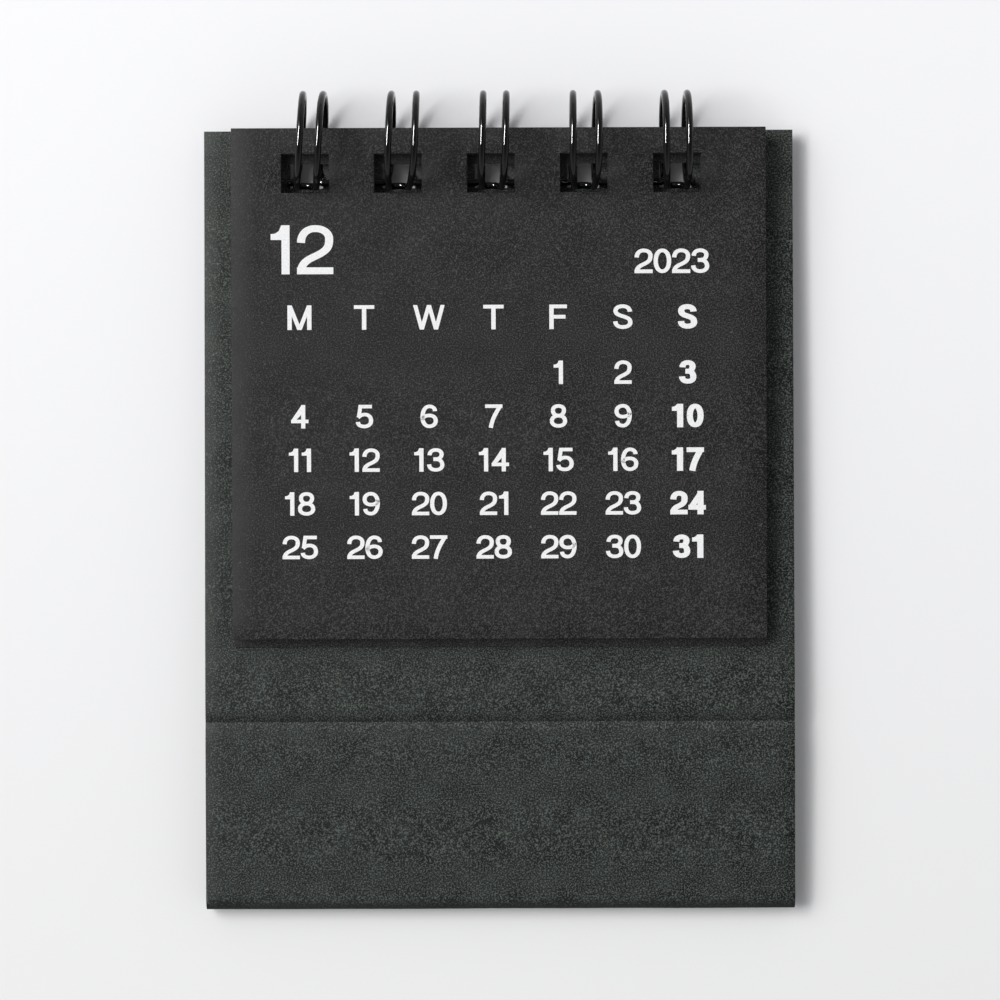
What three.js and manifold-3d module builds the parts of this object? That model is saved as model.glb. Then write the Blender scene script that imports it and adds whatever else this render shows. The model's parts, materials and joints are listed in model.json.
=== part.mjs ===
// Small desk calendar: a strip of month sheets on a twin-loop wire, on a card stand that is folded flat.
// Millimetres, +Z up. X runs along the rings, Y from the stand's bottom fold to the rings.
// Every shape is laid out with y = 0 on the rings' axis, and the group is centred over its own outline.

import * as THREE from 'three';
import { mergeVertices } from 'three/addons/utils/BufferGeometryUtils.js';
import Module from 'manifold-3d';

// Gap kept between two pieces that rest on each other
const clearance = 0.3;

// Month sheets
const sheetWidth = 73;
const sheetLength = 69.8;
const sheetThickness = 0.17;
const sheetCount = 13;
const lastSheetSlip = 1.3;

// Holes for the wire, the same in the sheets and in both ends of the card
const holeCount = 5;
const holePitch = 12.7;
const holeWidth = 6.6;
const holeLength = 5.4;
const holeMargin = 3.5;
const holeRowOffset = -1.0;

// Card stand: a front panel and a back panel, each with half of the base below its crease
const cardWidth = 81;
const cardThickness = 0.5;
const panelLength = 80.8;
const baseLength = 26.4;
const creaseHeight = 3.9;
const creaseWidth = 3.0;
const creaseDepth = 0.25;
const foldHeight = 3.5;
const foldSteps = 10;
const levelMargin = 2;
const backRiseLength = 14;

// Twin-loop wire
const wireDiameter = 0.95;
const wireSides = 8;
const ringInnerDiameter = 11.75;
const tableGap = 0.1;
const rootSpacing = 3.2;
const tipSpacing = 2.6;
const rootBendRadius = 0.9;
const rootBendSteps = 4;
const legSteps = 24;
const tipSteps = 8;
const tipGap = 0.3;
const stubLength = 1;
const pitchLoss = 0.22;
const wireSlip = 0.38;

// Wire and rings, worked out from the values above
const wireRadius = wireDiameter / 2;
const ringRadius = ringInnerDiameter / 2 + wireRadius;
const ringOuterRadius = ringRadius + wireRadius;
const ringHeight = tableGap + ringOuterRadius;

// Places along Y: the sheets hang on the near side of the rings
const holeNear = -ringOuterRadius - clearance;
const holeFar = holeNear + holeLength;
const boundEdge = holeFar + holeMargin;
const freeEdge = boundEdge - sheetLength;
const creaseY = boundEdge - panelLength;
const foldEnd = creaseY - baseLength;
const levelEnd = holeNear - levelMargin;

// Heights: back panel over the rings' bottoms, front panel on it, spine of the wire on that, sheets on top
const stripReach = Math.max(Math.abs(holeFar), Math.abs(boundEdge));
const ringFloor = ringHeight - Math.sqrt((ringInnerDiameter / 2) ** 2 - stripReach ** 2);
const backStripBottom = ringFloor + clearance;
const frontStripBottom = backStripBottom + cardThickness + clearance;
const frontStripTop = frontStripBottom + cardThickness;
const spineHeight = frontStripTop + clearance + wireRadius;
const sheetBottom = spineHeight + wireRadius + clearance;

const wasm = await Module();
wasm.setup();

function toSolid(geometry) {
  geometry.deleteAttribute('normal');
  geometry.deleteAttribute('uv');
  const merged = mergeVertices(geometry);
  const vertProperties = merged.attributes.position.array;
  const triVerts = merged.index.array;
  return new wasm.Manifold(new wasm.Mesh({ numProp: 3, vertProperties, triVerts }));
}

function toGeometry(solid) {
  const { vertProperties, triVerts } = solid.getMesh();
  const geometry = new THREE.BufferGeometry();
  geometry.setAttribute('position', new THREE.BufferAttribute(vertProperties, 3));
  geometry.setIndex(new THREE.BufferAttribute(triVerts, 1));
  geometry.computeVertexNormals();
  return geometry;
}

function holeCentres() {
  const middle = (holeCount - 1) / 2;
  return Array.from({ length: holeCount }, (_, i) => holeRowOffset + (i - middle) * holePitch);
}

// Cuts the row of holes through everything between the table and twice the given height
function punchHoles(solid, slip, height) {
  return holeCentres().reduce((remaining, x) => {
    const punch = new THREE.BoxGeometry(holeWidth, holeLength, 4 * height);
    punch.translate(x, (holeNear + holeFar) / 2 - slip, 0);
    return remaining.subtract(toSolid(punch));
  }, solid);
}

// A stack of sheets with its bottom at a height, slipped towards the fold, with its row of holes
function sheetStack(count, slip, bottom) {
  const thickness = count * sheetThickness;
  const block = new THREE.BoxGeometry(sheetWidth, sheetLength, thickness);
  block.translate(0, (boundEdge + freeEdge) / 2 - slip, bottom + thickness / 2);
  return punchHoles(toSolid(block), slip, bottom + thickness);
}

// All sheets as one solid, with the last one slipped towards the fold
function monthSheets() {
  const last = sheetStack(1, lastSheetSlip, sheetBottom);
  const others = sheetStack(sheetCount - 1, 0, sheetBottom + sheetThickness);
  return toGeometry(others.add(last));
}

// Outline of a strip of even thickness that follows a line of points, mitred at each point
function stripOutline(line, thickness) {
  const sides = line.map((point, i) => {
    const before = line[Math.max(i - 1, 0)];
    const after = line[Math.min(i + 1, line.length - 1)];
    const into = i > 0 ? point.clone().sub(before).normalize() : after.clone().sub(point).normalize();
    const out = i < line.length - 1 ? after.clone().sub(point).normalize() : into;
    const normal = new THREE.Vector2(-into.y - out.y, into.x + out.x);
    normal.multiplyScalar(thickness / 2 / (1 + into.dot(out)));
    return { left: point.clone().add(normal), right: point.clone().sub(normal) };
  });
  return [...sides.map((side) => side.left), ...sides.map((side) => side.right).reverse()];
}

// Middle of the card seen from its end, from the front panel's bound edge round the fold to the back panel's
function cardLine() {
  const half = cardThickness / 2;
  const foldRadius = foldHeight / 2 - half;
  const crease = (height, depth) => [
    new THREE.Vector2(creaseY + creaseWidth / 2, height),
    new THREE.Vector2(creaseY, height + depth),
    new THREE.Vector2(creaseY - creaseWidth / 2, height),
  ];
  const fold = [];
  for (let i = 0; i <= foldSteps; i += 1) {
    const angle = Math.PI / 2 + (i / foldSteps) * Math.PI;
    const y = foldEnd + half + foldRadius + foldRadius * Math.cos(angle);
    fold.push(new THREE.Vector2(y, foldHeight / 2 + foldRadius * Math.sin(angle)));
  }
  return [
    new THREE.Vector2(boundEdge, frontStripBottom + half),
    new THREE.Vector2(levelEnd, frontStripBottom + half),
    ...crease(creaseHeight - half, -creaseDepth),
    ...fold,
    ...crease(half, creaseDepth).reverse(),
    new THREE.Vector2(levelEnd - backRiseLength, half),
    new THREE.Vector2(levelEnd, backStripBottom + half),
    new THREE.Vector2(boundEdge, backStripBottom + half),
  ];
}

// One folded card, extruded along X, with the wire's holes cut through both of its ends
function standCard() {
  const shape = new THREE.Shape(stripOutline(cardLine(), cardThickness));
  const geometry = new THREE.ExtrudeGeometry(shape, { depth: cardWidth, bevelEnabled: false });
  geometry.translate(0, 0, -cardWidth / 2);
  const [alongX, alongY, alongZ] = [[1, 0, 0], [0, 1, 0], [0, 0, 1]].map((axis) => new THREE.Vector3(...axis));
  geometry.applyMatrix4(new THREE.Matrix4().makeBasis(alongY, alongZ, alongX));
  return toGeometry(punchHoles(toSolid(geometry), 0, frontStripTop));
}

// A line through stations that lie closer where the wire bends more, so its parameter is the station's number
class WireLine extends THREE.Curve {
  constructor(stations) {
    super();
    this.stations = stations;
  }

  getUtoTmapping(u) {
    return u;
  }

  getPoint(t, target = new THREE.Vector3()) {
    const place = t * (this.stations.length - 1);
    const index = Math.min(Math.floor(place), this.stations.length - 2);
    return target.lerpVectors(this.stations[index], this.stations[index + 1], place - index);
  }
}

// One twin loop, laid flat: x along the row, y the way round the ring from the spine.
// The wire leaves the spine in a quarter bend, runs up one leg, turns at the tip and comes back.
function flatLoop(centre, legLength) {
  const root = rootSpacing / 2;
  const tip = tipSpacing / 2;
  const legTop = legLength - tip;
  const rising = [];
  for (let i = 0; i < rootBendSteps; i += 1) {
    const angle = (i / rootBendSteps) * (Math.PI / 2);
    const x = -root - rootBendRadius + rootBendRadius * Math.sin(angle);
    rising.push(new THREE.Vector2(x, rootBendRadius * (1 - Math.cos(angle))));
  }
  for (let i = 0; i < legSteps; i += 1) {
    const along = THREE.MathUtils.lerp(rootBendRadius, legTop, i / legSteps);
    const narrowing = THREE.MathUtils.smoothstep(along / legTop, 0.4, 1);
    rising.push(new THREE.Vector2(-THREE.MathUtils.lerp(root, tip, narrowing), along));
  }
  const turn = [];
  for (let i = 0; i <= tipSteps; i += 1) {
    const angle = Math.PI - (i / tipSteps) * Math.PI;
    turn.push(new THREE.Vector2(tip * Math.cos(angle), legTop + tip * Math.sin(angle)));
  }
  const falling = rising.map((point) => new THREE.Vector2(-point.x, point.y)).reverse();
  return [...rising, ...turn, ...falling].map((point) => new THREE.Vector2(centre + point.x, point.y));
}

// One bent wire: the loops in a row, joined by the spine, and rolled round the rings' axis.
// The way round starts at the spine, passes under the card and comes down through the sheets.
function twinLoopWire() {
  const spineAngle = Math.PI + Math.asin((ringHeight - spineHeight) / ringRadius);
  const legLength = 2 * Math.PI * ringRadius - wireDiameter - tipGap;
  const middle = holeRowOffset + wireSlip;
  const centres = holeCentres().map((x, i) => x + wireSlip - (i - (holeCount - 1) / 2) * pitchLoss);
  const flat = centres.flatMap((centre) => flatLoop(centre, legLength));
  const reach = flat.at(-1).x - middle + stubLength;
  flat.unshift(new THREE.Vector2(middle - reach, 0));
  flat.push(new THREE.Vector2(middle + reach, 0));
  const stations = flat.map((point) => {
    const angle = spineAngle + point.y / ringRadius;
    const y = ringRadius * Math.cos(angle);
    return new THREE.Vector3(point.x, y, ringHeight + ringRadius * Math.sin(angle));
  });
  const section = new THREE.Shape();
  for (let i = 0; i < wireSides; i += 1) {
    const angle = (i / wireSides) * 2 * Math.PI;
    const corner = [wireRadius * Math.cos(angle), wireRadius * Math.sin(angle)];
    if (i === 0) section.moveTo(...corner);
    else section.lineTo(...corner);
  }
  const sweep = { extrudePath: new WireLine(stations), steps: stations.length - 1 };
  return new THREE.ExtrudeGeometry(section, sweep);
}

function piece(name, geometry, color, roughness) {
  const mesh = new THREE.Mesh(geometry, new THREE.MeshStandardMaterial({ color, roughness, metalness: 0 }));
  mesh.name = name;
  return mesh;
}

const calendar = new THREE.Group();
calendar.add(piece('stand_card', standCard(), 0x3b403c, 0.9));
calendar.add(piece('twin_loop_wire', twinLoopWire(), 0x0b0b0b, 0.25));
calendar.add(piece('month_sheets', monthSheets(), 0x353535, 0.9));
calendar.position.y = -(foldEnd + ringOuterRadius) / 2;

export default calendar;
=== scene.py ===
# %% [markdown]
# A small desk calendar lies on its back on a white table, seen from straight above.
# It is three things: a strip of dark green card folded into a flat stand, a stack of
# black month sheets, and the twin-loop wire that binds the sheets to both ends of the card.
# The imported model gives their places, so the first step loads it and keeps its size.

# %% Load the frame
import json
from math import asin, pi, radians

import bmesh
import bpy
import numpy as np
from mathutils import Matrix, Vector


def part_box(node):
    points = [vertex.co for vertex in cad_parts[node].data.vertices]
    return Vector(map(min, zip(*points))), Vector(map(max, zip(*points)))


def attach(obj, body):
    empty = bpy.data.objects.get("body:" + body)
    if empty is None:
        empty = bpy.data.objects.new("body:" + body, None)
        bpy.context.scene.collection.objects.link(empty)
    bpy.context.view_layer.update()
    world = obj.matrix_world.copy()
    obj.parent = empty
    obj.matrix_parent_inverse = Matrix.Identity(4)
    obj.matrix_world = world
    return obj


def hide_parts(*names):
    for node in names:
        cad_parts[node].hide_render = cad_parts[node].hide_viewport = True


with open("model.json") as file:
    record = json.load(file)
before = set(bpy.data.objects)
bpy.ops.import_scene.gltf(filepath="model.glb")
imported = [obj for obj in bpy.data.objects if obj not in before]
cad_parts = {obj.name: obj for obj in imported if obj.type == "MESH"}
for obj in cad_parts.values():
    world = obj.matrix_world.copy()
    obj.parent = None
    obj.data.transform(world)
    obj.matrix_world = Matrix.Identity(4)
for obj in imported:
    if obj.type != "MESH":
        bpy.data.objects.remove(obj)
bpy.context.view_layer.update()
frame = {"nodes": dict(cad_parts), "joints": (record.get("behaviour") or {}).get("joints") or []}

MM = 0.001
SHEETS_LOW, SHEETS_HIGH = (np.array(corner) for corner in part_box("month_sheets"))
CARD_LOW, CARD_HIGH = (np.array(corner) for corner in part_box("stand_card"))
WIRE_HIGH = np.array(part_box("twin_loop_wire")[1])
TURN = frame["joints"][0]
print("nodes:", sorted(frame["nodes"]))

# %% [markdown]
# The sizes below are the real ones, in metres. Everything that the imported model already
# knows, such as an edge of the card, is read from its boxes, and only what a box can't
# tell, such as the punched holes, is written here.
#
# The card's holes don't lie exactly under those of the sheets, perhaps because the card is
# punched by itself. A crisp edge inside the first hole in the photograph shows the front
# strip's holes a millimetre to the right. The back strip's shift, and the rise of both
# towards the edge, can't be seen. They are guesses, which make the bottoms of the holes
# nearly as dark as they are there.

# %% Sizes shared by the pieces
HOLE_COUNT = 5
HOLE_PITCH = 12.7 * MM
HOLE_WIDTH = 6.6 * MM
HOLE_LENGTH = 5.4 * MM
HOLE_MARGIN = 3.5 * MM
HOLE_ROW_X = -1.0 * MM
SLIP = 1.3 * MM
FRONT_HOLE_SHIFT = 1.05 * MM
BACK_HOLE_SHIFT = -1.1 * MM
CARD_HOLE_RISE = 1.0 * MM
BOUND_EDGE = CARD_HIGH[1]
HOLE_FAR = BOUND_EDGE - HOLE_MARGIN
HOLE_NEAR = HOLE_FAR - HOLE_LENGTH
HOLE_X = HOLE_ROW_X + (np.arange(HOLE_COUNT) - (HOLE_COUNT - 1) / 2) * HOLE_PITCH
CREASE_Y = BOUND_EDGE - 81.3 * MM
print("hole centres, mm:", np.round(HOLE_X / MM, 2))

# %% [markdown]
# Every surface here is a grid: two parameters, one value of x, y and z for each pair of them.
# One helper turns such a grid into a mesh, leaves out the cells where a hole is punched,
# and another gives grid lines that are evenly spaced but always meet the holes' edges.

# %% Grid helpers
def mesh_object(name, points, faces, material):
    """Makes a smooth object at the origin from an array of points and an array of quads."""
    mesh = bpy.data.meshes.new(name)
    mesh.from_pydata(points.tolist(), [], faces.tolist())
    mesh.validate()
    mesh.shade_smooth()
    mesh.materials.append(material)
    piece = bpy.data.objects.new(name, mesh)
    bpy.context.scene.collection.objects.link(piece)
    return piece


def grid_quads(rows, columns, keep=None):
    """Quads of a grid of rows by columns points, without the cells where keep is false."""
    index = np.arange(rows * columns).reshape(rows, columns)
    quads = np.stack([index[:-1, :-1], index[:-1, 1:], index[1:, 1:], index[1:, :-1]], axis=-1)
    return quads.reshape(-1, 4) if keep is None else quads[keep]


def lines_through(low, high, step, stops):
    """Values from low to high about one step apart, with each of the stops among them."""
    ends = np.unique(np.round(np.concatenate([[low, high], stops]), 9))
    spans = [np.linspace(a, b, max(int(np.ceil((b - a) / step)), 1), endpoint=False)
             for a, b in zip(ends[:-1], ends[1:])]
    return np.concatenate([*spans, [high]])


def inside_holes(middles_x, middles_y, shift_x=0.0, shift_y=0.0):
    """True for the grid cells whose middle lies in one of the punched holes, moved by a shift."""
    in_x = (np.abs(middles_x[:, None] - shift_x - HOLE_X) < HOLE_WIDTH / 2).any(axis=1)
    in_y = (middles_y > HOLE_NEAR + shift_y) & (middles_y < HOLE_FAR + shift_y)
    return in_y[:, None] & in_x[None, :]


def smooth(value):
    """A smooth step from 0 at 0 to 1 at 1."""
    value = np.clip(value, 0, 1)
    return value * value * (3 - 2 * value)


HOLE_SIDES = np.concatenate([HOLE_X - HOLE_WIDTH / 2, HOLE_X + HOLE_WIDTH / 2])
print("sides of the holes, mm:", np.round(HOLE_SIDES / MM, 2))

# %% [markdown]
# Materials come next, because each piece is made with its own. A shader's maths is easier
# to read as Python expressions, so a small class wraps a socket: adding or multiplying two
# of them adds the Math node that does it. Any other node comes from one method.

# %% Shader helpers
class Link:
    """A node's output that can be used in sums and products."""

    def __init__(self, shader, socket):
        self.shader = shader
        self.socket = socket

    def math(self, operation, first, second):
        return self.shader.node("ShaderNodeMath", {"operation": operation}, {0: first, 1: second})

    def __add__(self, other):
        return self.math("ADD", self, other)

    __radd__ = __add__

    def __mul__(self, other):
        return self.math("MULTIPLY", self, other)

    __rmul__ = __mul__

    def __sub__(self, other):
        return self.math("SUBTRACT", self, other)

    def __rsub__(self, other):
        return self.math("SUBTRACT", other, self)


class Shader:
    """A material's node tree, with one method that adds any node."""

    def __init__(self, name):
        self.material = bpy.data.materials.new(name)
        self.material.use_nodes = True
        self.tree = self.material.node_tree
        self.tree.nodes.clear()

    def node(self, kind, settings=None, inputs=None, output=0):
        """Adds a node, sets it up, then gives its sockets their values or links."""
        new = self.tree.nodes.new(kind)
        for name, value in (settings or {}).items():
            setattr(new, name, value)
        for name, value in (inputs or {}).items():
            if isinstance(value, Link):
                self.tree.links.new(value.socket, new.inputs[name])
            else:
                new.inputs[name].default_value = value
        return Link(self, new.outputs[output]) if new.outputs else None

    def place(self):
        """Where a point lies on the calendar, in metres."""
        return self.node("ShaderNodeTexCoord", output="Object")

    def noise(self, scale, detail=2.0, place=None, distortion=0.0):
        """Cloudy values about 0.5, with scale blotches to the metre."""
        inputs = {"Vector": place or self.place(), "Scale": scale}
        inputs.update({"Detail": detail, "Distortion": distortion})
        return self.node("ShaderNodeTexNoise", inputs=inputs)

    def band(self, value, low, high):
        """0 below low, 1 above high and a smooth step between them."""
        inputs = {"Value": value, "From Min": low, "From Max": high}
        return self.node("ShaderNodeMapRange", {"interpolation_type": "SMOOTHSTEP"}, inputs)

    def mix(self, factor, first, second):
        """One colour blended into another by a factor."""
        inputs = {0: factor, 6: first, 7: second}
        return self.node("ShaderNodeMix", {"data_type": "RGBA"}, inputs, output=2)

    def finish(self, inputs, bump=None, depth=0.02 * MM):
        """Ends the tree in a Principled BSDF, with an optional bump from a height."""
        if bump is not None:
            height = self.node("ShaderNodeBump", inputs={"Height": bump, "Distance": depth})
            inputs = {**inputs, "Normal": height}
        surface = self.node("ShaderNodeBsdfPrincipled", inputs=inputs)
        self.node("ShaderNodeOutputMaterial", inputs={"Surface": surface})
        return self.material


def rgb(red, green, blue):
    """A colour given in the 0 to 255 values of a screen, as linear light with full alpha."""
    value = np.array([red, green, blue]) / 255
    linear = np.where(value > 0.04045, ((value + 0.055) / 1.055) ** 2.4, value / 12.92)
    return (*linear.tolist(), 1.0)


print("middle grey as linear light:", round(rgb(128, 128, 128)[0], 3))

# %% [markdown]
# Black paper and dark card are dyed right through. Seen close, both are a fine salt and
# pepper of fibres, with a few longer pale ones that lie in all directions. The grain is a
# noise; a fibre is the thin line where another noise passes its middle value, broken into
# short lengths by a third.
#
# Folding dulls the card round the bottom fold. Painted shade darkens it round that fold
# and above the scored line, and a painted highlight makes it paler below that line. It is
# also a little paler towards the rings; the photograph doesn't tell whether that is its
# dye or the light. A painted sheen makes it a little paler towards the rings too.

# %% Fibres
FIBRE_SCALE = 900.0
FIBRE_HALF_WIDTH = 0.010
FIBRE_PRESENCE = 0.60
FIBRE_COLOUR = rgb(150, 150, 146)
GRAIN_BAND = (0.46, 0.70)
CLOUD_BAND = (0.3, 0.7)
PAPER_SPECULAR = 0.38


def fibres(shader):
    """Short thin curved lines: where a noise is near its middle, and a second one is high."""
    place = shader.place()
    ridge = shader.noise(FIBRE_SCALE, 1.0, place, 0.6)
    away = shader.node("ShaderNodeMath", {"operation": "ABSOLUTE"}, {0: ridge - 0.5})
    line = 1.0 - shader.band(away, 0.0, FIBRE_HALF_WIDTH)
    patches = shader.noise(FIBRE_SCALE * 2.2, 0.0, place)
    return line * shader.band(patches, FIBRE_PRESENCE, FIBRE_PRESENCE + 0.04)


def fibrous(name, dark, light, grain_scale, mottle, fibre_strength, roughness, dulling_and_painted_light=None):
    """Uncoated paper or card: fine grain, soft blotches and pale fibres over a dark dye."""
    shader = Shader(name)
    grain = shader.band(shader.noise(grain_scale, 3.0), *GRAIN_BAND)
    cloud = shader.band(shader.noise(mottle, 2.0), *CLOUD_BAND)
    tone = grain * 0.92 + cloud * 0.10
    thread = fibres(shader)
    colour = shader.mix(tone, dark, light)
    colour = shader.mix(thread * fibre_strength, colour, FIBRE_COLOUR)
    dull = grain * 0.30 + (roughness - 0.09)
    # Optional painted shade, highlight and sheen, and dulling where the card is folded.
    if dulling_and_painted_light is not None:
        colour, dull = dulling_and_painted_light(shader, colour, dull, tone, dark)
    surface = {"Base Color": colour, "Roughness": dull, "Specular IOR Level": PAPER_SPECULAR}
    return shader.finish(surface, bump=grain + thread * 0.5, depth=0.04 * MM)


print("fibre noise, blotches to the metre:", FIBRE_SCALE)

# %% [markdown]
# Each painted mark, of shade, highlight or sheen, and the dulling at the fold, has its own
# zone along the card, from where it starts to where it is full. A zone is a smooth step of
# y, so it needs no picture and follows the card's length.

# %% Paper and card
# Zones of painted shade round the fold, painted sheen towards the rings, painted highlight and shade
# either side of the crease, and the pale colour of the painted light.
FOLD_ZONE = (CARD_LOW[1] + 0.1 * MM, CARD_LOW[1] + 1.9 * MM)
PAINTED_SHEEN_ZONE = (CARD_LOW[1] + 8 * MM, CARD_HIGH[1])
PAINTED_HIGHLIGHT_ZONE = (CREASE_Y - 1.6 * MM, CREASE_Y - 0.3 * MM)
LINE_ZONE = (CREASE_Y - 0.12 * MM, CREASE_Y + 0.12 * MM)
PAINTED_CREASE_SHADE_ZONE = (CREASE_Y + 0.1 * MM, CREASE_Y + 1.7 * MM)
PAINTED_LIGHT_COLOUR = rgb(125, 130, 124)


def folding_wear(shader, colour, dull, tone, dark):
    """Paints sheen near the rings, a highlight below the crease, shade above it and at the fold;
    dulls the fold.
    """
    along = shader.node("ShaderNodeSeparateXYZ", inputs={"Vector": shader.place()}, output="Y")
    # Painted sheen: the card is made paler towards the rings.
    painted_sheen = shader.band(along, *PAINTED_SHEEN_ZONE) * tone * 0.40
    above_line = shader.band(along, *LINE_ZONE)
    # Painted highlight below the scored line and painted shade just above it.
    painted_highlight = shader.band(along, *PAINTED_HIGHLIGHT_ZONE) * (1.0 - above_line) * tone * 0.25
    painted_crease_shade = above_line * (1.0 - shader.band(along, *PAINTED_CREASE_SHADE_ZONE)) * 0.45
    # Painted shade darkens the card round the bottom fold; the roughness added there is real dulling.
    fold_shade_and_dulling = 1.0 - shader.band(along, *FOLD_ZONE)
    colour = shader.mix(painted_sheen + painted_highlight, colour, PAINTED_LIGHT_COLOUR)
    colour = shader.mix(fold_shade_and_dulling * 0.7 + painted_crease_shade, colour, dark)
    return colour, dull + fold_shade_and_dulling * 0.4


SHEET_PAPER = fibrous("sheet_paper", rgb(3, 3, 3), rgb(73, 71, 72), grain_scale=5000.0,
                      mottle=160.0, fibre_strength=0.24, roughness=0.58)
SHEET_EDGE = fibrous("sheet_edge", rgb(10, 9, 9), rgb(56, 53, 51), grain_scale=5000.0,
                     mottle=400.0, fibre_strength=0.2, roughness=0.8)
# The card gets painted shade, highlight and sheen, and dulling at its fold.
STAND_CARD = fibrous("stand_card", rgb(2, 5, 3), rgb(87, 96, 90), grain_scale=4800.0,
                     mottle=260.0, fibre_strength=0.28, roughness=0.54, dulling_and_painted_light=folding_wear)
CARD_EDGE = fibrous("card_edge", rgb(26, 20, 15), rgb(74, 61, 49), grain_scale=5000.0,
                    mottle=500.0, fibre_strength=0.2, roughness=0.8)
print("paper and card:", [one.name for one in (SHEET_PAPER, SHEET_EDGE, STAND_CARD, CARD_EDGE)])

# %% [markdown]
# The wire has a glossy black coat. Gloss needs little colour: nearly all that is seen of it
# is the reflection of the pale table and the lamps, so the base stays almost black and only
# a faint unevenness of the coat is added. The print is a thin coat of white ink.

# %% Wire coat and ink
WIRE_SPECULAR = 0.3
WIRE_ROUGHNESS, WIRE_UNEVENNESS = 0.03, 0.05
INK_ROUGHNESS = 0.6


def glossy_coat():
    """Black enamel: almost no colour, low roughness with slight variation, a faint ripple."""
    shader = Shader("wire_coat")
    ripple = shader.noise(700.0, 2.0)
    roughness = WIRE_ROUGHNESS + shader.band(ripple, 0.3, 0.8) * WIRE_UNEVENNESS
    colour = shader.mix(ripple, rgb(1, 1, 1), rgb(4, 4, 4))
    surface = {"Base Color": colour, "Roughness": roughness, "Specular IOR Level": WIRE_SPECULAR}
    return shader.finish(surface, bump=ripple, depth=0.006 * MM)


def white_ink():
    """Matt white ink that lets a little of the paper's grain through."""
    shader = Shader("white_ink")
    grain = shader.band(shader.noise(4200.0, 3.0), 0.25, 0.75)
    colour = shader.mix(grain, rgb(232, 232, 233), rgb(250, 250, 250))
    surface = {"Base Color": colour, "Roughness": INK_ROUGHNESS}
    return shader.finish(surface, bump=grain, depth=0.01 * MM)


WIRE_COAT = glossy_coat()
INK = white_ink()
print("wire and ink:", WIRE_COAT.name, INK.name)

# %% [markdown]
# The stand is one strip of card. Seen from its end it runs from the rings along the top,
# over a scored crease, round the bottom fold and back along the table. So it is a profile
# along a path: the path is that line, the profile is a straight line across the width.

# %% The card seen from its end
CARD_THICKNESS = 0.5 * MM
CREASE_TOP = CARD_HIGH[2] - CARD_THICKNESS / 2
CREASE_DEPTH = 0.42 * MM
CREASE_REACH_ABOVE = 0.95 * MM
CREASE_REACH_BELOW = 1.35 * MM
FOLD_HEIGHT = 3.5 * MM
FOLD_REACH = 1.3 * MM
FOLD_NOSE = 2.1 * MM
LEVEL_END = HOLE_NEAR - 2 * MM
RISE_LENGTH = 14 * MM
STRIP_GAP = 0.3 * MM
WIRE_DIAMETER = 0.95 * MM
FRONT_STRIP = SHEETS_LOW[2] - 2 * STRIP_GAP - WIRE_DIAMETER - CARD_THICKNESS / 2
BACK_STRIP = FRONT_STRIP - CARD_THICKNESS - STRIP_GAP


def crease_dip(y):
    """The scored line's section: a sharp valley, whose sides flatten out as they leave it."""
    away = np.abs(y - CREASE_Y)
    reach = np.where(y > CREASE_Y, CREASE_REACH_ABOVE, CREASE_REACH_BELOW)
    return CREASE_DEPTH * np.exp(-away / reach)


def card_path():
    """The card's middle line, seen from its end, as one array of y and one of z.

    Front: level at the holes, then a straight rise to the crease and a fall to the fold,
    less the crease's dip. Fold: a quarter ellipse from the top out to the nose, and another
    from the nose in to the table. Back: flat on the table, with the same crease pushed
    upwards, then a smooth rise to the strip that the rings pass under.
    """
    half = CARD_THICKNESS / 2
    middle = CARD_LOW[1] + half + FOLD_REACH
    near_crease = CREASE_Y + np.linspace(-1, 1, 49) ** 3 * 4 * MM
    rows = [HOLE_NEAR + CARD_HOLE_RISE, HOLE_FAR + CARD_HOLE_RISE, LEVEL_END,
            LEVEL_END - RISE_LENGTH, *near_crease]
    y = lines_through(middle, BOUND_EDGE, 2.0 * MM, rows)[1:]
    heights = [FOLD_HEIGHT - half, CREASE_TOP, FRONT_STRIP]
    up = np.interp(y, [middle, CREASE_Y, LEVEL_END], heights) - crease_dip(y)
    rise = smooth((y - LEVEL_END + RISE_LENGTH) / RISE_LENGTH)
    down = half + (BACK_STRIP - half) * rise + crease_dip(y)
    angle = np.linspace(pi / 2, 3 * pi / 2, 33)
    round_y = middle + FOLD_REACH * np.cos(angle)
    tall = np.where(angle < pi, FOLD_HEIGHT - half - FOLD_NOSE, FOLD_NOSE - half)
    round_z = FOLD_NOSE + tall * np.sin(angle)
    path_y = np.concatenate([y[::-1], round_y, y])
    path_z = np.concatenate([up[::-1], round_z, down])
    return path_y, path_z


print("points along the card:", len(card_path()[0]))

# %% [markdown]
# The line is carried straight across the width, and the cells inside the punched holes are
# left out. A hand-folded card is never quite even, so a slow wave moves the fold in and out
# by a few hundredths of a millimetre. A Solidify modifier gives the card its thickness and
# its cut edges their own material, and a small Bevel wears those edges.

# %% The card stand
FOLD_WAVE = 0.05 * MM


def thicken(piece, thickness, rounding):
    """Gives a sheet its thickness about its middle, an edge material and slightly worn edges."""
    wall = piece.modifiers.new("thickness", "SOLIDIFY")
    wall.thickness = thickness
    wall.offset = 0
    wall.use_even_offset = True
    wall.material_offset_rim = 1
    edge = piece.modifiers.new("edges", "BEVEL")
    edge.width = rounding
    edge.segments = 2
    edge.limit_method = "ANGLE"
    edge.angle_limit = radians(50)


def fold_wave(x):
    """How far the fold is moved at x, as a share of the most: two sines about a half."""
    return 0.5 + 0.3 * np.sin(2 * pi * x / (47 * MM) + 0.6) + 0.2 * np.sin(2 * pi * x / (19 * MM) + 2)


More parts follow.
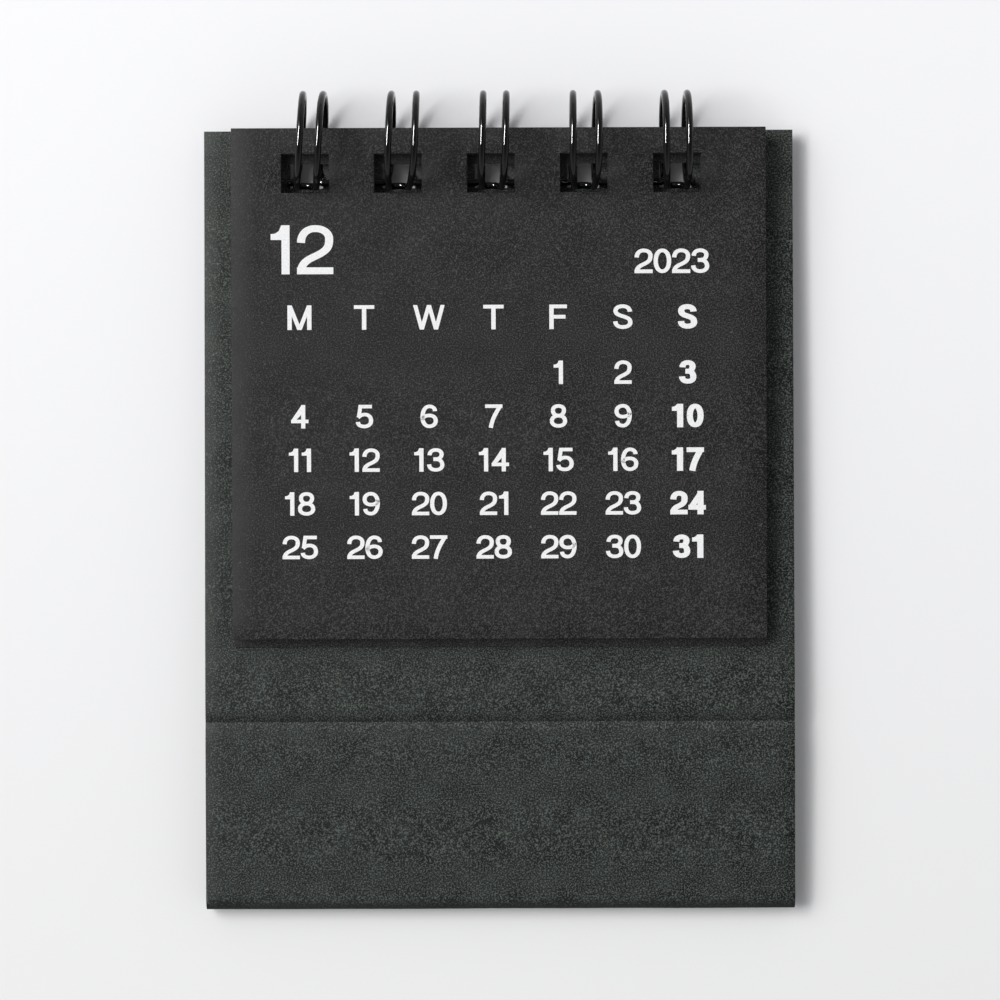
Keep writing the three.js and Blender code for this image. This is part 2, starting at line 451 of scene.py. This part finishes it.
def stand_card():
    """The path carried across the width, with the wave fading out from the fold to the crease."""
    path_y, path_z = card_path()
    sides = np.concatenate([HOLE_SIDES + FRONT_HOLE_SHIFT, HOLE_SIDES + BACK_HOLE_SHIFT])
    x = lines_through(CARD_LOW[0], CARD_HIGH[0], 2.5 * MM, sides)
    near_fold = smooth((CREASE_Y - path_y) / (CREASE_Y - CARD_LOW[1]))
    y = path_y[:, None] + FOLD_WAVE * near_fold[:, None] * fold_wave(x)[None, :]
    z = np.repeat(path_z[:, None], len(x), axis=1)
    points = np.stack(np.broadcast_arrays(x[None, :], y, z), axis=-1).reshape(-1, 3)
    middles = (x[1:] + x[:-1]) / 2, (path_y[1:] + path_y[:-1]) / 2
    front = inside_holes(*middles, FRONT_HOLE_SHIFT, CARD_HOLE_RISE)
    back = inside_holes(*middles, BACK_HOLE_SHIFT, CARD_HOLE_RISE)
    is_front = np.arange(len(path_y) - 1) < (len(path_y) - 1) // 2
    holes = np.where(is_front[:, None], front, back)
    piece = mesh_object("card_stand", points, grid_quads(len(path_y), len(x), ~holes), STAND_CARD)
    piece.data.materials.append(CARD_EDGE)
    thicken(piece, CARD_THICKNESS, rounding=0.07 * MM)
    return piece


card = stand_card()
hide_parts("stand_card")
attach(card, "stand")
print("card:", len(card.data.polygons), "faces")

# %% [markdown]
# The sheets are thirteen thin leaves. They are held level by the wire at the bound edge and
# sink a little towards the free edge, over the card. Each one is moved by less than a tenth
# of a millimetre, which is what makes a stack of paper look like a stack, and the last one
# has slid well towards the fold.

# %% The month sheets
SHEET_COUNT = 13
SHEET_STEP = (SHEETS_HIGH[2] - SHEETS_LOW[2]) / SHEET_COUNT
PAPER_THICKNESS = 0.15 * MM
SHEET_LENGTH = BOUND_EDGE - SHEETS_LOW[1] - SLIP
SINK = 0.45 * MM
LOWER_INSET = 0.1 * MM
UNEVENNESS = 0.09
ragged = np.random.default_rng(12)


def sheet_sink(y):
    """How far the stack has sunk at y: nothing at the wire, most at the free edge."""
    return SINK * smooth((HOLE_NEAR - y) / SHEET_LENGTH * 0.9)


def month_sheet(number):
    """One leaf: a level grid with the holes left out, sunk a little, turned into paper."""
    slip = SLIP if number == 0 else 0.0
    shift_x, shift_y = ragged.uniform(-UNEVENNESS, UNEVENNESS, 2) * MM
    inset = LOWER_INSET
    if number == SHEET_COUNT - 1:
        shift_x, shift_y, inset = 0.0, 0.0, 0.0
    near = BOUND_EDGE - SHEET_LENGTH
    x = lines_through(SHEETS_LOW[0] + inset, SHEETS_HIGH[0] - inset, 6 * MM, HOLE_SIDES)
    y = lines_through(near - slip + inset, BOUND_EDGE - slip - inset, 3 * MM,
                      [HOLE_NEAR - slip, HOLE_FAR - slip])
    middle = SHEETS_LOW[2] + (number + 0.5) * SHEET_STEP
    z = middle - sheet_sink(y)[:, None] + 0 * x[None, :]
    points = np.stack(np.broadcast_arrays(x[None, :] + shift_x, y[:, None] + shift_y, z), axis=-1)
    holes = inside_holes((x[1:] + x[:-1]) / 2, (y[1:] + y[:-1]) / 2, 0.0, -slip)
    name = f"month_sheet_{number + 1:02d}"
    piece = mesh_object(name, points.reshape(-1, 3), grid_quads(len(y), len(x), ~holes), SHEET_PAPER)
    piece.data.materials.append(SHEET_EDGE)
    thicken(piece, PAPER_THICKNESS, rounding=0.02 * MM)
    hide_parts("month_sheets")
    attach(piece, "sheets")
    return piece


sheets = [month_sheet(number) for number in range(SHEET_COUNT)]
print("sheets:", len(sheets), "step, mm:", round(SHEET_STEP / MM, 3))

# %% [markdown]
# The wire is one length, bent into hairpins and rolled round the rings' axis. Laid flat it
# is easy to describe: along the spine, round a small bend, up one leg, round the tip, down
# the other leg and back onto the spine. No two hairpins come out of the binding quite
# alike, so each one's spacing and lean at the top of its ring are measured on the photograph.

# %% The wire laid flat
WIRE_RADIUS = WIRE_DIAMETER / 2
AXIS_Y, AXIS_Z = TURN["pos_m"][1], TURN["pos_m"][2]
RING_RADIUS = WIRE_HIGH[1] - AXIS_Y - WIRE_RADIUS
TIP_GAP = 0.3 * MM
LEG_LENGTH = 2 * pi * RING_RADIUS - WIRE_DIAMETER - TIP_GAP
STUB = 0.2 * MM
ROOT_SPACING = 3.1 * MM
ROOT_BEND = 0.9 * MM
TIP_SPACING = 2.7 * MM
TOP_SPACING = np.array([2.55, 3.55, 3.15, 3.50, 3.10]) * MM
TOP_LEAN = np.array([1.20, 0.87, 0.54, 0.17, -0.22]) * MM
SPREAD_FROM, SPREAD_OVER = 0.2, 0.45
NARROW_FROM, NARROW_OVER = 0.78, 0.22
LEAN_SKEW = 0.9


def flat_loop(centre, spacing, lean):
    """One hairpin laid flat: quarter bend, leg, half circle at the tip, leg, quarter bend.

    Its root and its tip are centred in the hole. On its way over the top it leans sideways
    by a sine of the distance along it, and the legs' spacing passes through its own value.
    """
    root, tip = ROOT_SPACING / 2, TIP_SPACING / 2
    top = LEG_LENGTH - tip
    quarter = np.linspace(0, pi / 2, 8, endpoint=False)
    bend_x = -root - ROOT_BEND + ROOT_BEND * np.sin(quarter)
    bend_s = ROOT_BEND * (1 - np.cos(quarter))
    leg_s = np.linspace(ROOT_BEND, top, 72, endpoint=False)
    leg_x = -root + (root - spacing / 2) * smooth((leg_s / top - SPREAD_FROM) / SPREAD_OVER)
    leg_x = leg_x + (spacing / 2 - tip) * smooth((leg_s / top - NARROW_FROM) / NARROW_OVER)
    turn = np.linspace(pi, pi / 2, 8, endpoint=False)
    half_x = np.concatenate([bend_x, leg_x, tip * np.cos(turn)])
    half_s = np.concatenate([bend_s, leg_s, top + tip * np.sin(turn)])
    x = np.concatenate([half_x, [0.0], -half_x[::-1]])
    s = np.concatenate([half_s, [LEG_LENGTH], half_s[::-1]])
    return x + centre + lean * np.sin(pi * (s / LEG_LENGTH) ** LEAN_SKEW), s


def flat_wire():
    """All the hairpins in a row, with straight spine between them and a stub at each end."""
    loops = [flat_loop(*values) for values in zip(HOLE_X, TOP_SPACING, TOP_LEAN)]
    x = np.concatenate([loop[0] for loop in loops])
    s = np.concatenate([loop[1] for loop in loops])
    return np.concatenate([[x[0] - STUB], x, [x[-1] + STUB]]), np.concatenate([[0], s, [0]])


print("one leg of the wire, mm:", round(LEG_LENGTH / MM, 1))

# %% [markdown]
# Rolling turns the distance up a leg into an angle. Because the rolled line lies on a
# cylinder, the way out from the axis is always square to it, and a round section needs no
# other frame than that and the line's own direction.

# %% The twin-loop wire
SPINE_Z = SHEETS_LOW[2] - STRIP_GAP - WIRE_RADIUS
SPINE_ANGLE = pi + asin((AXIS_Z - SPINE_Z) / RING_RADIUS)
WIRE_SIDES = 20


def rolled_line(x, s):
    """The wire's middle line and the way out from the rings' axis, at each of its points.

    A point is x along the row and the axis plus the ring's radius times the way out.
    """
    angle = SPINE_ANGLE + s / RING_RADIUS
    out = np.stack([np.zeros_like(x), np.cos(angle), np.sin(angle)], axis=-1)
    axis = np.stack([x, np.full_like(x, AXIS_Y), np.full_like(x, AXIS_Z)], axis=-1)
    return axis + RING_RADIUS * out, out


def close_ends(piece):
    """Fills the open rings at the two ends of a tube."""
    shape = bmesh.new()
    shape.from_mesh(piece.data)
    bmesh.ops.holes_fill(shape, edges=[edge for edge in shape.edges if edge.is_boundary])
    bmesh.ops.recalc_face_normals(shape, faces=shape.faces)
    shape.to_mesh(piece.data)
    shape.free()


def twin_loop_wire():
    """Rolls the flat wire up and carries a circle along it.

    A point of the surface is the line plus the wire's radius times two parts: the cosine
    of the way out and the sine of the direction square to both.
    """
    line, out = rolled_line(*flat_wire())
    steps = np.diff(line, axis=0)
    steps /= np.linalg.norm(steps, axis=1, keepdims=True)
    along = np.concatenate([steps[:1], steps[1:] + steps[:-1], steps[-1:]])
    along /= np.linalg.norm(along, axis=1, keepdims=True)
    side = np.cross(along, out)
    turn = np.linspace(0, 2 * pi, WIRE_SIDES, endpoint=False)[None, :, None]
    ring = np.cos(turn) * out[:, None] + np.sin(turn) * side[:, None]
    points = (line[:, None] + WIRE_RADIUS * ring).reshape(-1, 3)
    index = np.arange(len(points)).reshape(len(line), WIRE_SIDES)
    around = np.roll(index, -1, axis=1)
    quads = np.stack([index[:-1], index[1:], around[1:], around[:-1]], axis=-1).reshape(-1, 4)
    piece = mesh_object("binding_wire", points, quads, WIRE_COAT)
    close_ends(piece)
    return piece


wire = twin_loop_wire()
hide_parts("twin_loop_wire")
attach(wire, "stand")
print("wire:", len(wire.data.polygons), "faces")

# %% [markdown]
# The print is plain numbers and the weekdays' first letters, in an upright style whose
# level strokes are a little thinner than its upright ones. So the pen that draws them is
# an ellipse, wider than it is high: a stroke's line is carried by that pen, and its width
# follows from its direction. Every sign stands in a box one unit high.

# %% The pen's strokes
def bend(*points):
    """Cubic curves one after another: a point, two handles, a point, two handles, a point."""
    points = np.array(points, dtype=float)
    t = np.linspace(0, 1, 11)[:, None]
    parts = []
    for k in range(0, len(points) - 1, 3):
        a, b, c, d = points[k:k + 4]
        curve = a * (1 - t) ** 3 + 3 * b * t * (1 - t) ** 2 + 3 * c * t * t * (1 - t) + d * t ** 3
        parts.append(curve if k == 0 else curve[1:])
    return np.concatenate(parts)


def rounds(first_way, *points, square=0.6):
    """A round line through points where it runs upright and level in turn ("v" or "h")."""
    points = np.array(points, dtype=float)
    chain = [points[0]]
    upright = first_way == "v"
    for a, b in zip(points[:-1], points[1:]):
        step = (b - a) * square
        leave, arrive = ((0, step[1]), (step[0], 0)) if upright else ((step[0], 0), (0, step[1]))
        chain += [a + leave, b - arrive, b]
        upright = not upright
    return bend(*chain)


def stroke(line, pen):
    """The two rails of a line drawn with an elliptical pen of the given width and height."""
    line = np.array(line, dtype=float)
    steps = np.diff(line, axis=0)
    steps /= np.linalg.norm(steps, axis=1, keepdims=True)
    into = np.concatenate([steps[:1], steps])
    out = np.concatenate([steps, steps[-1:]])
    normal = np.stack([-into[:, 1] - out[:, 1], into[:, 0] + out[:, 0]], axis=-1)
    normal /= np.linalg.norm(normal, axis=1, keepdims=True)
    half = np.linalg.norm(normal * pen, axis=1) / 2
    return line + normal * half[:, None], line - normal * half[:, None]


print("points of one curve:", len(bend((0, 0), (0, 1), (1, 1), (1, 0))))

# %% [markdown]
# Each sign is one or more lines for the middle of the pen. A round sign is a line through
# the places where it runs upright or level, which are easy to read off in a photograph.
# The values are shares of the sign's height: h and v are half of the pen's width and
# height, and keep a line's outer side on the edge of its box.

# %% Round signs
SIGN_BOX = 0.74


def curve_of_two(h, v):
    """The line of a 2 down to its foot: two rounds, then a slope that straightens."""
    head = rounds("v", (h, 0.64), (SIGN_BOX / 2, 1 - v), (SIGN_BOX - h, 0.71))
    slope = bend((SIGN_BOX - h, 0.71), (SIGN_BOX - h, 0.54), (0.60, 0.47), (0.36, 0.36),
                 (0.20, 0.29), (h + 0.03, 0.22), (h + 0.01, v * 1.6))
    return np.concatenate([head, slope[1:]])


def curve_of_three(h, v):
    """The two bowls of a 3, which meet a short level stroke at the middle."""
    mid, right = SIGN_BOX / 2, SIGN_BOX - h
    upper = rounds("v", (h + 0.02, 0.70), (mid, 1 - v), (right - 0.03, 0.745), (0.38, 0.535))
    lower = rounds("h", (0.40, 0.525), (right, 0.285), (mid, v), (h, 0.31))
    return [np.concatenate([upper, [(0.27, 0.535)]]), np.concatenate([[(0.27, 0.525)], lower])]


def curve_of_five(h, v):
    """The bowl of a 5, entered from the left."""
    shoulder = (0.385, 0.605 - v / 4)
    entry = bend((0.10, 0.455), (0.19, 0.56), (0.29, 0.605 - v / 4), shoulder)
    bowl = rounds("h", shoulder, (SIGN_BOX - h, 0.325), (SIGN_BOX / 2 - 0.01, v), (h, 0.27))
    return np.concatenate([entry, bowl[1:]])


def curve_of_six(h, v):
    """The line of a 6: over the top, down the left side and once round the bowl."""
    mid, right = SIGN_BOX / 2, SIGN_BOX - h
    return rounds("v", (right - 0.03, 0.72), (mid + 0.01, 1 - v), (h, 0.47), (mid, v),
                  (right, 0.315), (mid + 0.01, 0.615 - v), (h, 0.34))


def curve_of_s(h, v):
    """The line of an S: a round, a double bend through the middle and another round."""
    head = rounds("v", (0.77 - h, 0.70), (0.39, 1 - v), (h + 0.01, 0.735))
    middle = bend((h + 0.01, 0.735), (h + 0.01, 0.59), (0.28, 0.555), (0.40, 0.515),
                  (0.56, 0.46), (0.79 - h, 0.42), (0.79 - h, 0.27))
    tail = rounds("v", (0.79 - h, 0.27), (0.39, v), (h, 0.31))
    return np.concatenate([head, middle[1:], tail[1:]])


def eyes_of_eight(h, v):
    """The two closed rounds of an 8, the upper one the smaller."""
    mid, right = SIGN_BOX / 2, SIGN_BOX - h
    upper = rounds("v", (h + 0.045, 0.745), (mid, 1 - v), (right - 0.045, 0.745),
                   (mid, 0.50 + v * 0.2), (h + 0.045, 0.745))
    lower = rounds("v", (h, 0.285), (mid, 0.585 - v), (right, 0.285), (mid, v), (h, 0.285))
    return [upper, lower]


print("points of a 6:", len(curve_of_six(0.1, 0.08)))

# %% [markdown]
# The other signs are straight, and a few parts, such as the slanted strokes of an M, are
# not drawn by any even pen. Those are four-sided patches between two rails of their own.

# %% All the signs
FLAG_WIDTH = 0.22
FLAG_LOW = 0.70
SIGN_WIDTH = {"M": 0.98, "T": 0.83, "W": 1.28, "F": 0.72, "S": 0.79, "0": 0.72}


def drawn_lines(pen):
    """The lines that the pen's middle follows for each sign, by sign."""
    h, v = pen / 2
    w, high = SIGN_BOX, 1 - v
    stem = FLAG_WIDTH + h
    return {
        "0": [rounds("v", (h, 0.5), (0.36, high), (0.72 - h, 0.5), (0.36, v), (h, 0.5))],
        "1": [((stem, 0), (stem, 1))],
        "2": [curve_of_two(h, v), ((0.0, v), (w, v))],
        "3": curve_of_three(h, v),
        "4": [((0.515, 0), (0.515, 1)), ((0.0, 0.30), (w, 0.30))],
        "5": [((0.69, high), (0.125, high)), curve_of_five(h, v)],
        "6": [curve_of_six(h, v)],
        "7": [((0.0, high), (w, high)),
              bend((w - h - 0.01, high), (0.46, 0.64), (0.29, 0.36), (0.24, 0.0))],
        "8": eyes_of_eight(h, v),
        "9": [(w, 1.0) - curve_of_six(h, v)],
        "M": [((h, 0), (h, 1)), ((0.98 - h, 0), (0.98 - h, 1))],
        "T": [((0.0, high), (0.83, high)), ((0.415, 0), (0.415, high))],
        "F": [((h, 0), (h, 1)), ((h, high), (0.72, high)), ((h, 0.505), (0.66, 0.505))],
        "S": [curve_of_s(h, v)],
    }


def patch(*corners):
    """A four-sided patch, as rails: first its left side's two corners, then its right side's."""
    corners = np.array(corners, dtype=float)
    return corners[:2], corners[2:]


def flag_of_one(pen):
    """The flag of a 1: level below, and curved up towards the stem above."""
    rise = FLAG_LOW + 0.85 * pen[1]
    top = np.array([(0, rise), (0.4 * FLAG_WIDTH, rise + 0.01), (0.75 * FLAG_WIDTH, rise + 0.06),
                    (0.95 * FLAG_WIDTH, 0.985), (FLAG_WIDTH, 1), (FLAG_WIDTH + 0.02, 1)])
    return top, np.column_stack([top[:, 0], np.full(len(top), FLAG_LOW)])


def patches(pen):
    """The parts of the signs that no even pen draws, by sign."""
    wide, half = pen[0], pen[0] / 2
    slant = 0.15 + wide * 0.1
    slopes = ((0.0, 0.27), (0.565, 0.27), (0.565, 0.85), (1.12, 0.85))
    return {
        "1": [flag_of_one(pen)],
        "4": [patch((0.0, 0.34), (0.45, 1.0), (1.15 * wide, 0.34), (0.46, 0.60 + 0.1 * wide))],
        "5": [patch((0.125, 1.0), (0.045, 0.47),
                    (0.125 + wide * 0.9, 1.0), (0.045 + wide * 0.95, 0.47))],
        "M": [patch((0, 1), (0.49 - half, 0), (wide, 1), (0.49 + half, 0)),
              patch((0.98 - wide, 1), (0.49 - half, 0), (0.98, 1), (0.49 + half, 0))],
        "W": [patch((top, 1), (base, 0), (top + slant, 1), (base + slant, 0))
              for top, base in slopes],
    }


def signs(pen):
    """Each sign as a list of rail pairs, its strokes first and then its patches."""
    pen = np.array(pen)
    lines, flats = drawn_lines(pen), patches(pen)
    return {sign: [stroke(line, pen) for line in lines.get(sign, [])] + flats.get(sign, [])
            for sign in sorted({*lines, *flats})}


print("signs:", " ".join(signs((0.2, 0.17))))

# %% [markdown]
# A sign becomes thin raised ink: each pair of rails is lifted off the paper and closed
# round. Strokes of one sign cross, so each lies a few thousandths of a millimetre above
# the one before, and no two faces share a place.

# %% Ink on the top sheet
INK_THICKNESS = 0.012 * MM
STROKE_LIFT = 0.002 * MM
PAPER_TOP = SHEETS_HIGH[2] - SHEET_STEP / 2 + PAPER_THICKNESS / 2
PLAIN_GAP = 0.035
GAP_AFTER_ONE = 0.15
GAP_BEFORE_ONE = 0.08


def ink_strip(left, right, lift):
    """A closed thin strip between two rails: four long sides, and a cap at each end."""
    flat = np.concatenate([left, right, right, left])
    count = len(left)
    paper = PAPER_TOP - sheet_sink(flat[:, 1])
    raised = np.repeat([INK_THICKNESS + lift, 0.0], 2 * count)
    points = np.column_stack([flat, paper + raised])
    index = np.arange(4 * count).reshape(4, count)
    around = np.roll(index, -1, axis=0)
    sides = np.stack([index[:, :-1], around[:, :-1], around[:, 1:], index[:, 1:]], axis=-1)
    caps = np.stack([index[::-1, 0], index[:, -1]])
    return points, np.concatenate([sides.reshape(-1, 4), caps])


def sign_width(sign, pen):
    """A sign's width in units of its height."""
    return FLAG_WIDTH + pen[0] if sign == "1" else SIGN_WIDTH.get(sign, SIGN_BOX)


def gap_between(sign, following):
    """The space after a sign: widest after a 1, and wider before one than elsewhere."""
    if sign == "1":
        return GAP_AFTER_ONE
    return GAP_BEFORE_ONE if following == "1" else PLAIN_GAP


def print_word(text, x, y, height, pen):
    """Strips of a word whose middle is at x and whose signs stand on y."""
    strips = []
    shapes = signs(pen)
    gaps = [gap_between(*pair) for pair in zip(text[:-1], text[1:])] + [0.0]
    start = x - height * (sum(sign_width(sign, pen) for sign in text) + sum(gaps)) / 2
    for sign, gap in zip(text, gaps):
        for number, rails in enumerate(shapes[sign]):
            left, right = (rail * height + (start, y) for rail in rails)
            strips.append(ink_strip(left, right, number * STROKE_LIFT))
        start += (sign_width(sign, pen) + gap) * height
    return strips


print("the paper's top, mm:", round(PAPER_TOP / MM, 3))

# %% [markdown]
# The page holds the month, the year, a line of weekdays and five lines of days. The first
# day falls in the fifth column, and the last column is printed bolder than the others.

# %% The printed page
COLUMN_X = (np.arange(7) - 3) * 8.83 * MM - 0.73 * MM
MONTH_X, YEAR_X = -26.84 * MM, 23.65 * MM
MONTH_BASE = BOUND_EDGE - 19.95 * MM
WEEKDAY_BASE = BOUND_EDGE - 27.55 * MM
FIRST_ROW_BASE = BOUND_EDGE - 35.05 * MM
ROW_STEP = 5.95 * MM
MONTH_HEIGHT = 6.7 * MM
LETTER_HEIGHT = 3.35 * MM
DAY_HEIGHT = 3.2 * MM
BIG_PEN, PLAIN_PEN, BOLD_PEN = (0.165, 0.14), (0.178, 0.15), (0.262, 0.2)
COLUMN_PENS = [PLAIN_PEN] * 6 + [BOLD_PEN]
FIRST_COLUMN = 4
DAYS = 31


def page_strips():
    """All the strips of ink on the page, word by word."""
    words = [("12", MONTH_X, MONTH_BASE, MONTH_HEIGHT, BIG_PEN)]
    words.append(("2023", YEAR_X, MONTH_BASE, LETTER_HEIGHT, PLAIN_PEN))
    for letter, x, pen in zip("MTWTFSS", COLUMN_X, COLUMN_PENS):
        words.append((letter, x, WEEKDAY_BASE, LETTER_HEIGHT, pen))
    for day in range(1, DAYS + 1):
        row, column = divmod(day - 1 + FIRST_COLUMN, 7)
        base = FIRST_ROW_BASE - row * ROW_STEP
        words.append((str(day), COLUMN_X[column], base, DAY_HEIGHT, COLUMN_PENS[column]))
    return [strip for word in words for strip in print_word(*word)]


def printed_page():
    """Joins the strips into one mesh with flat faces."""
    strips = page_strips()
    starts = np.cumsum([0] + [len(points) for points, _ in strips[:-1]])
    points = np.concatenate([points for points, _ in strips])
    quads = np.concatenate([faces + start for (_, faces), start in zip(strips, starts)])
    piece = mesh_object("page_print", points, quads, INK)
    piece.data.shade_flat()
    return piece


page = printed_page()
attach(page, "sheets")
print("print:", len(page.data.polygons), "faces")

# %% [markdown]
# The table is a large white plane, with painted shade that makes it a little darker towards
# the bottom. It lies a hair under the stand, so that no two faces share a place.

# %% The table
TABLE_DROP = 0.02 * MM
TABLE_HALF = 1.5
PAINTED_TABLE_SHADE = (-0.09, 0.09)


def table():
    """A white surface just under the stand, with painted shade towards the bottom."""
    corners = np.array([[-1, -1], [1, -1], [1, 1], [-1, 1]]) * TABLE_HALF
    points = np.column_stack([corners, np.full(4, -TABLE_DROP)])
    shader = Shader("table_white")
    along = shader.node("ShaderNodeSeparateXYZ", inputs={"Vector": shader.place()}, output="Y")
    # Painted shade: the white is darker towards the bottom.
    colour = shader.mix(shader.band(along, *PAINTED_TABLE_SHADE), rgb(238, 238, 238), rgb(250, 250, 252))
    material = shader.finish({"Base Color": colour, "Roughness": 0.8})
    return mesh_object("table", points, np.array([[0, 1, 2, 3]]), material)


table()
print("table, m:", 2 * TABLE_HALF)

# %% [markdown]
# The light comes from the upper left. A broad lamp gives the level and a soft shadow, and a
# narrow one beside it makes the shadow firmer near the card. An even pale world fills the
# rest, darker overhead so that level gloss stays dark. Together they light a flat surface
# to about the level at which a colour renders as it is written.
#
# In the photograph a bright streak runs down each ring, brighter than those two lamps make
# it on black enamel. A third, narrow lamp stands for its source and lights the wire alone,
# through light linking. It gives the wire between three and four times as much light as all
# the rest does, so the wire is the one piece that is lit above that level. Its coat is nearly
# black, so little more than the streak shows it.

# %% The light
LAMP_DISTANCE = 2.6


def soft_lamp(name, way, long, wide, power):
    """A rectangular soft lamp, some way off from the calendar, that points at its middle."""
    lamp = bpy.data.lights.new(name, "AREA")
    lamp.shape = "RECTANGLE"
    lamp.size = long
    lamp.size_y = wide
    lamp.energy = power
    holder = bpy.data.objects.new(name, lamp)
    holder.location = Vector(way).normalized() * LAMP_DISTANCE
    holder.rotation_euler = Vector(way).to_track_quat("Z", "Y").to_euler()
    bpy.context.scene.collection.objects.link(holder)
    return holder


def room(name, overhead, low, tint):
    """An even surround that is darker overhead than near the horizon, as a studio is."""
    world = bpy.data.worlds.new(name)
    world.use_nodes = True
    tree = world.node_tree
    place = tree.nodes.new("ShaderNodeTexCoord")
    parts = tree.nodes.new("ShaderNodeSeparateXYZ")
    height = tree.nodes.new("ShaderNodeMapRange")
    height.inputs["From Min"].default_value = 0.35
    height.inputs["From Max"].default_value = 0.85
    height.inputs["To Min"].default_value = low
    height.inputs["To Max"].default_value = overhead
    tree.links.new(place.outputs["Generated"], parts.inputs["Vector"])
    tree.links.new(parts.outputs["Z"], height.inputs["Value"])
    tree.links.new(height.outputs["Result"], tree.nodes["Background"].inputs["Strength"])
    tree.nodes["Background"].inputs["Color"].default_value = tint
    return world


soft_lamp("broad_lamp", way=(-0.83, 0.36, 1.0), long=2.1, wide=1.70, power=47.0)
soft_lamp("strip_lamp", way=(-0.80, 0.24, 1.0), long=2.1, wide=0.30, power=20.0)
highlight = soft_lamp("highlight_lamp", way=(-0.80, 0.20, 1.0), long=1.9, wide=0.15, power=330.0)
lit_by_it = bpy.data.collections.new("lit_by_highlight_lamp")
lit_by_it.objects.link(wire)
highlight.light_linking.receiver_collection = lit_by_it
bpy.context.scene.world = room("studio", overhead=0.15, low=0.66, tint=(0.97, 0.98, 1.0, 1))
bpy.context.scene.view_settings.view_transform = "Standard"
print("lamps:", sorted(lamp.name for lamp in bpy.data.lights))

# %% [markdown]
# The camera looks straight down. How fast things shrink with depth in the photograph gives
# its distance, and its own slight turn makes the calendar look a fifth of a degree askew.

# %% Camera
CAMERA_PLACE = (0.08 * MM, 0.22 * MM, 446.5 * MM)
CAMERA_ROLL = -0.19
FOCAL_PIXELS = 3222
FRAME_PIXELS = 1000
SENSOR_WIDTH = 36.0
camera_data = bpy.data.cameras.new("camera")
camera_data.sensor_width = SENSOR_WIDTH
camera_data.lens = SENSOR_WIDTH * FOCAL_PIXELS / FRAME_PIXELS
camera_data.clip_start = 0.01
camera = bpy.data.objects.new("camera", camera_data)
camera.location = CAMERA_PLACE
camera.rotation_euler = (0, 0, radians(CAMERA_ROLL))
bpy.context.scene.collection.objects.link(camera)
bpy.context.scene.camera = camera
print("lens, mm:", round(camera_data.lens, 1))
